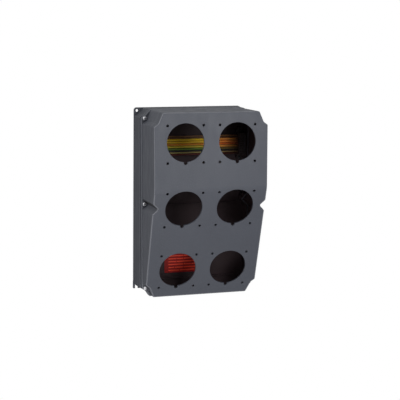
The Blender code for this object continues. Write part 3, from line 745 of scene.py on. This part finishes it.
def plate_blank():
    outline = back_plate_outline()
    front_y = -LUG_THICKNESS
    bm = bmesh.new()
    skin(bm, [(inset(outline, PLATE_SOFT), front_y), (outline, front_y + PLATE_SOFT), (outline, 0)])
    return shape("cutter_plate", bm, HOUSING)


def small_screw_names():
    """The CAD nodes of the strips' and the saddle's screws."""
    return [name for name in sorted(frame["nodes"]) if name.startswith(("strip_screw_", "saddle_screw_"))]


def post_centres():
    """Posts under the small screws of the strips and the saddle."""
    return [node_centre(name) for name in small_screw_names()]


def base_cavity():
    """The space inside, with the screw columns, posts and floor ribs left standing."""
    bm = bmesh.new()
    prism(bm, inset(symmetric(BOX_BACK_CUT), WALL), PARTING_Y + RIM_DEPTH, -BACK_WALL)
    cavity = shape("cutter_base_cavity", bm, INTERIOR_SHADE)
    bm = bmesh.new()
    for centre in screw_centres():
        prism(bm, circle(centre, COLUMN_RADIUS, 28), PARTING_Y, 0)
    for centre in post_centres():
        prism(bm, circle(centre, POST_RADIUS, 24), POST_FRONT_Y, 0)
    for z in FLOOR_RIBS:
        outline = rectangle(-FLOOR_RIB_HALF, FLOOR_RIB_HALF, z, z + RIB_THICKNESS)
        prism(bm, outline, -BACK_WALL - FLOOR_RIB_REACH, 0)
    carve(cavity, shape("cutter_columns", bm, INTERIOR_SHADE))
    bm = bmesh.new()
    mouth = inset(face_outline(), BOX_MOUTH_INSET)
    prism(bm, mouth, PARTING_Y - WALL, PARTING_Y + RIM_DEPTH + OVERLAP)
    carve(cavity, shape("cutter_mouth", bm, INTERIOR_SHADE), "UNION")
    return cavity


def base_holes():
    """Insert pockets, screw holes in the posts and the upper lug holes."""
    bm = bmesh.new()
    for centre in screw_centres():
        prism(bm, circle(centre, INSERT_HOLE_RADIUS, 28), PARTING_Y - WALL, INSERT_HOLE_END_Y)
    for centre in post_centres():
        prism(bm, circle(centre, PILOT_RADIUS, 20), POST_FRONT_Y - WALL, -LUG_THICKNESS)
    for *centre, radius in (TOP_LEFT_HOLE, TOP_RIGHT_HOLE):
        prism(bm, circle(centre, radius, 32), -LUG_THICKNESS - WALL, WALL)
    return shape("cutter_base_holes", bm, HOUSING)


def gasket_groove():
    _, gasket_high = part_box("cover_gasket")
    outer = inset(face_outline(), GASKET_INSETS[0] - GASKET_CLEARANCE)
    inner = inset(face_outline(), GASKET_INSETS[1] + GASKET_CLEARANCE)
    bm = bmesh.new()
    ring(bm, outer, inner, PARTING_Y - WALL, gasket_high.y + GASKET_CLEARANCE)
    return shape("cutter_groove", bm, HOUSING)


def rear_details():
    """Recesses in the rear face and the scored knock-outs in the underside."""
    bm = bmesh.new()
    far_x = BOX_BACK_CUT[2][0] - RECESS_MARGINS[0]
    far_z = PLATE_HALF[1] - RECESS_MARGINS[1]
    for side_x in (-1, 1):
        for side_z in (-1, 1):
            xs = sorted((side_x * RECESS_SPACING_HALF, side_x * far_x))
            zs = sorted((side_z * RECESS_SPACING_HALF, side_z * far_z))
            prism(bm, rounded(rectangle(*xs, *zs), RECESS_ROUND), -RECESS_DEPTH, WALL)
    recesses = shape("cutter_recesses", bm, HOUSING)
    bm = bmesh.new()
    for name in ("entry_left", "entry_right"):
        x, y, z = MOUNTS[name]["pos_m"]
        outer, inner = (circle((x, y), radius, 64) for radius in KNOCKOUT_RADII)
        ring(bm, outer, inner, z - WALL, z + KNOCKOUT_DEPTH, lambda x, y, z: Vector((x, y, z)))
    return recesses, shape("cutter_knockouts", bm, HOUSING)


def base_shell():
    base = base_blank()
    carve(base, plate_blank(), "UNION")
    carve(base, base_cavity())
    carve(base, gasket_groove())
    carve(base, base_holes())
    for cutter in rear_details():
        carve(base, cutter)
    finish_piece(base, "box", "housing", "rear_box")


# ---------------------------------------------------------------- fasteners


def lathe(bm, profile, steps, centre):
    """Adds the body turned about an axis along Y from (radius, y) points, with flat ends."""
    skin(bm, [(circle(centre, radius, steps), y) for radius, y in profile])


def thread_layers(centre, end_y):
    """Outlines along a shank whose radius rises and falls once per turn and once per pitch."""
    layers = []
    rows = int((end_y - THREAD_START_Y) / THREAD_PITCH * THREAD_ROWS_PER_PITCH)
    for row in range(rows + 1):
        y = THREAD_START_Y + (end_y - THREAD_START_Y) * row / rows
        outline = []
        for i in range(TURNED_STEPS):
            phase = (y / THREAD_PITCH + i / TURNED_STEPS) % 1.0
            radius = SHANK_RADIUS - THREAD_DEPTH * abs(2 * phase - 1)
            turn = 2 * math.pi * i / TURNED_STEPS
            outline.append((centre[0] + radius * math.cos(turn), centre[1] + radius * math.sin(turn)))
        layers.append((outline, y))
    return layers


def drive_recess(centre, head_y, depth, reach, material):
    """A tapered cross for a screw's drive."""
    half = reach * DRIVE_BAR_SHARE
    bars = []
    for wide, tall in ((reach, half), (half, reach)):
        top = rectangle(-wide, wide, -tall, tall)
        layers = []
        for share, y in ((1.0, head_y - DRIVE_OVERRUN), (DRIVE_TAPER, head_y + depth)):
            layers.append(([(centre[0] + x * share, centre[1] + z * share) for x, z in top], y))
        bm = bmesh.new()
        skin(bm, layers)
        bars.append(shape("cutter_bar", bm, material))
    carve(*bars, "UNION")
    return bars[0]


def cover_screw(number, centre, head):
    """A domed screw: its head, a plain neck, the thread and the tip."""
    low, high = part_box(f"cover_screw_{number}")
    washer_low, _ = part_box(f"screw_washer_{number}")
    seat = washer_low.y - HEAD_SEAT_GAP
    profile = [(head * share, low.y + depth) for share, depth in DOMED_HEAD]
    profile += [(head, seat - HEAD_BACK_SOFT), (head * HEAD_BACK_SHARE, seat)]
    profile += [(SHANK_RADIUS, seat), (SHANK_RADIUS, SHANK_END_Y)]
    layers = [(circle(centre, radius, TURNED_STEPS), y) for radius, y in profile]
    layers += thread_layers(centre, high.y - TIP_LENGTH)
    layers += [(circle(centre, TIP_RADIUS, TURNED_STEPS), high.y)]
    bm = bmesh.new()
    skin(bm, layers)
    screw = shape(f"fine_screw_{number}", bm, STEEL)
    carve(screw, drive_recess(centre, low.y, DRIVE_DEPTH, head * DRIVE_REACH_SHARE, DRIVE_SHADE_STEEL))
    finish_piece(screw, f"screw_{number}", "steel", f"cover_screw_{number}")


def cover_washer(number, centre, outer):
    """A flat washer with softened front edges, as wide as the screw's head."""
    low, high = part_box(f"screw_washer_{number}")
    inner = WASHER_HOLE_RADIUS
    profile = [(inner, low.y + WASHER_SOFT), (inner + WASHER_SOFT, low.y)]
    profile += [(outer - WASHER_SOFT, low.y), (outer, low.y + WASHER_SOFT)]
    profile += [(outer, high.y), (inner, high.y), (inner, low.y + WASHER_SOFT)]
    bm = bmesh.new()
    skin(bm, [(circle(centre, radius, TURNED_STEPS), y) for radius, y in profile], close=False)
    bmesh.ops.remove_doubles(bm, verts=bm.verts, dist=1e-7)
    washer = shape(f"fine_washer_{number}", bm, NYLON)
    finish_piece(washer, f"washer_{number}", "nylon", f"screw_washer_{number}")


def cover_screws():
    for number, centre in enumerate(screw_centres(), 1):
        low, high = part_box(f"cover_screw_{number}")
        head = (high.x - low.x) / 2
        cover_screw(number, centre, head)
        cover_washer(number, centre, head)


def small_screws():
    for name in small_screw_names():
        low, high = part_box(name)
        centre = node_centre(name)
        head = (high.x - low.x) / 2
        profile = [(head * share, low.y + depth) for share, depth in PAN_HEAD]
        profile += [(SMALL_SHANK_RADIUS, profile[-1][1])]
        profile += [(SMALL_SHANK_RADIUS, high.y - SMALL_TIP_LENGTH), (SMALL_TIP_RADIUS, high.y)]
        bm = bmesh.new()
        lathe(bm, profile, 32, centre)
        screw = shape(f"fine_{name}", bm, DARK_STEEL)
        recess = drive_recess(centre, low.y, SMALL_DRIVE_DEPTH, head * SMALL_DRIVE_SHARE, DARK_STEEL)
        carve(screw, recess)
        finish_piece(screw, "box", "steel", name)


# ---------------------------------------------------------------- inside


def wire_heights():
    """Each wire's height and diameter."""
    heights = {}
    for name in WIRE_COLOURS:
        low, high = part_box(f"wire_{name}")
        heights[name] = ((low.z + high.z) / 2, high.z - low.z)
    return heights


def loom_wires():
    """Each wire as a fine tube with a slight bow and its own gentle waver."""
    start, end = LOOM_LOW.x, LOOM_HIGH.x
    for number, (name, (z, diameter)) in enumerate(wire_heights().items()):
        curve = bpy.data.curves.new(f"insulated_wire_{name}", "CURVE")
        curve.dimensions = "3D"
        curve.bevel_depth = diameter / 2 * WIRE_FIT
        curve.bevel_resolution = 7
        curve.use_fill_caps = True
        spline = curve.splines.new("POLY")
        spline.points.add(WIRE_POINTS - 1)
        for i, point in enumerate(spline.points):
            along = i / (WIRE_POINTS - 1)
            free = max(0.0, min(1.0, (along - WIRE_HELD_SHARE) / (1 - 2 * WIRE_HELD_SHARE)))
            lift = math.sin(math.pi * free)
            bow = WIRE_BOW * lift**2
            waver = WIRE_WAVER * lift * math.sin(5 * math.pi * along + number * 1.7)
            point.co = (start + (end - start) * along, WIRE_AXIS_Y - bow + waver, z + waver * 0.6, 1)
        curve.materials.append(insulation(f"insulation_{name}", *WIRE_COLOURS[name]))
        obj = bpy.data.objects.new(f"insulated_wire_{name}", curve)
        bpy.context.scene.collection.objects.link(obj)
        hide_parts(f"wire_{name}")
        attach(obj, "box")


def strip_holes(x, centre_z, mouth, inward, back_y):
    """Screw holes in a strip's ears and a funnel for each wire behind its mouth."""
    bm = bmesh.new()
    for z in (centre_z - EAR_HOLE_OFFSET, centre_z + EAR_HOLE_OFFSET):
        prism(bm, circle((x, z), PILOT_RADIUS, 20), back_y - EAR_HOLE_DEPTH, back_y + WALL)
    ends = sorted((mouth + inward * WALL, mouth - inward * FUNNEL_DEPTH))
    for z, diameter in wire_heights().values():
        hole = circle((WIRE_AXIS_Y, z), diameter / 2 + FUNNEL_CLEARANCE, 20)
        prism(bm, hole, *ends, lambda y, z, x: Vector((x, y, z)))
    return shape("cutter_strip_holes", bm, BLACK)


def pole_gaps(x, half, front_y):
    """Shallow saw cuts between the poles, one below each wire but the lowest."""
    bm = bmesh.new()
    gaps = sorted(z - diameter / 2 - POLE_GAP_OFFSET for z, diameter in wire_heights().values())[1:]
    reach = half + OVERLAP
    for z in gaps:
        outline = rectangle(x - reach, x + reach, z - POLE_GAP_HALF, z + POLE_GAP_HALF)
        prism(bm, outline, front_y - OVERLAP, front_y + POLE_GAP_DEPTH)
    return shape("cutter_gaps", bm, BLACK)


def clamp_screws(side, x, front_y):
    """The flat heads of the clamp screws, one at each wire's height."""
    bm = bmesh.new()
    for z, diameter in wire_heights().values():
        radius = min(CLAMP_RADIUS, diameter / 2 * CLAMP_SHARE)
        profile = [(radius * 0.8, front_y - CLAMP_HEIGHT), (radius, front_y)]
        profile += [(radius, front_y + CLAMP_DEPTH)]
        lathe(bm, profile, 20, (x, z))
    finish_piece(shape(f"clamp_screws_{side}", bm, DARK_STEEL), "box", "steel")


def terminal_strips():
    """Moulded strips with a wire funnel, a pole gap and a clamp screw for each wire."""
    for side, inward in (("left", 1), ("right", -1)):
        low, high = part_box(f"terminal_strip_{side}")
        x, centre_z = node_centre(f"terminal_strip_{side}")
        half = (high.x - low.x) / 2
        outline = rectangle(x - half, x + half, centre_z - STRIP_BLOCK_HALF, centre_z + STRIP_BLOCK_HALF)
        block = rounded(outline, STRIP_ROUND, 4)
        bm = bmesh.new()
        skin(bm, [(inset(block, STRIP_SOFT), low.y), (block, low.y + STRIP_SOFT), (block, high.y)])
        strip = shape(f"moulded_strip_{side}", bm, BLACK)
        ear = rounded(rectangle(x - EAR_HALF, x + EAR_HALF, low.z, high.z), EAR_ROUND, 6)
        bm = bmesh.new()
        prism(bm, ear, high.y - EAR_THICKNESS, high.y)
        carve(strip, shape("cutter_ears", bm, BLACK), "UNION")
        carve(strip, strip_holes(x, centre_z, x + inward * half, inward, high.y))
        carve(strip, pole_gaps(x, half, low.y))
        finish_piece(strip, "box", "black_moulding", f"terminal_strip_{side}")
        clamp_screws(side, x - inward * CLAMP_OFFSET, low.y)


def label_bars():
    """The label's print, as rows of plain bars of uneven length that stand for lines of text."""
    low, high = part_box("instruction_label")
    bm = bmesh.new()
    pitch = (high.z - low.z - BAR_MARGIN) / BAR_ROWS
    left, right = low.x + 2 * BAR_MARGIN, high.x - BAR_MARGIN
    for row in range(BAR_ROWS):
        z = high.z - BAR_MARGIN - row * pitch
        x = left
        part = 0
        while x < right - BAR_MARGIN:
            share = 0.5 + 0.5 * math.sin(row * 2.3 + part * 1.9)
            length = min(BAR_SHORTEST + BAR_SPREAD * share, right - x)
            bar = rounded(rectangle(x, x + length, z - BAR_HEIGHT, z), BAR_ROUND, 3)
            prism(bm, bar, low.y - BAR_RELIEF, low.y + BAR_ROOT)
            x += length + BAR_SPACING
            part += 1
    finish_piece(shape("label_bars", bm, LABEL_PALE), "box", "label_red")


def dress_cad_nodes():
    """Finishes for the CAD nodes that stay in view."""
    finishes = {"cover_gasket": RUBBER, "loom_saddle": BLACK, "instruction_label": LABEL_RED}
    for number in range(1, 7):
        finishes[f"threaded_insert_{number}"] = BRASS
    for name, material in finishes.items():
        for material_slot in frame["nodes"][name].material_slots:
            material_slot.material = material


# ---------------------------------------------------------------- studio


def camera():
    made = bpy.data.objects.new("camera", bpy.data.cameras.new("camera"))
    made.location = CAMERA_LOCATION
    made.rotation_euler = Euler([math.radians(angle) for angle in CAMERA_ANGLES])
    made.data.lens = CAMERA_LENS
    bpy.context.scene.collection.objects.link(made)
    bpy.context.scene.camera = made


def area_light(name, place, power, size):
    """A square soft box that faces the object's middle."""
    data = bpy.data.lights.new(name, "AREA")
    data.energy = power
    data.size = size
    made = bpy.data.objects.new(name, data)
    made.location = place
    away = Vector(place) - (CAD_LOW + CAD_HIGH) / 2
    made.rotation_euler = away.to_track_quat("Z", "Y").to_euler()
    bpy.context.scene.collection.objects.link(made)


def sky():
    """White to the camera; as light, brighter above than below."""
    world = bpy.data.worlds.new("studio")
    world.use_nodes = True
    bpy.context.scene.world = world
    tree = world.node_tree
    light = tree.nodes["Background"]
    white = tree.nodes.new("ShaderNodeBackground")
    white.inputs["Color"].default_value = (1, 1, 1, 1)
    coords = tree.nodes.new("ShaderNodeTexCoord")
    split = tree.nodes.new("ShaderNodeSeparateXYZ")
    tree.links.new(coords.outputs["Generated"], split.inputs["Vector"])
    above = remap(tree, split.outputs["Z"], SKY_LOW, SKY_HIGH, -0.3, 1.0)
    tree.links.new(above, light.inputs["Strength"])
    light.inputs["Color"].default_value = (0.97, 0.98, 1.0, 1)
    path = tree.nodes.new("ShaderNodeLightPath")
    mix = tree.nodes.new("ShaderNodeMixShader")
    tree.links.new(path.outputs["Is Camera Ray"], mix.inputs["Fac"])
    tree.links.new(light.outputs["Background"], mix.inputs[1])
    tree.links.new(white.outputs["Background"], mix.inputs[2])
    tree.links.new(mix.outputs["Shader"], tree.nodes["World Output"].inputs["Surface"])


def floor():
    """A plain pale floor, well below the wall-mounted object, that the camera sees as white."""
    bm = bmesh.new()
    bmesh.ops.create_grid(bm, x_segments=1, y_segments=1, size=30)
    made = bpy.data.materials.new("pale_floor")
    made.use_nodes = True
    tree = made.node_tree
    shader = tree.nodes["Principled BSDF"]
    shader.inputs["Base Color"].default_value = FLOOR_COLOUR
    shader.inputs["Roughness"].default_value = 0.9
    glow = tree.nodes.new("ShaderNodeEmission")
    path = tree.nodes.new("ShaderNodeLightPath")
    mix = tree.nodes.new("ShaderNodeMixShader")
    tree.links.new(path.outputs["Is Camera Ray"], mix.inputs["Fac"])
    tree.links.new(shader.outputs["BSDF"], mix.inputs[1])
    tree.links.new(glow.outputs["Emission"], mix.inputs[2])
    tree.links.new(mix.outputs["Shader"], tree.nodes["Material Output"].inputs["Surface"])
    ground = shape("floor", bm, made)
    ground.location.z = FLOOR_Z


camera()
sky()
area_light("key_light", *KEY_LIGHT)
area_light("left_light", *LEFT_LIGHT)
area_light("front_light", *FRONT_LIGHT)
floor()
bpy.context.scene.view_settings.view_transform = "Standard"

cover_shell()
base_shell()
cover_screws()
small_screws()
loom_wires()
terminal_strips()
label_bars()
dress_cad_nodes()
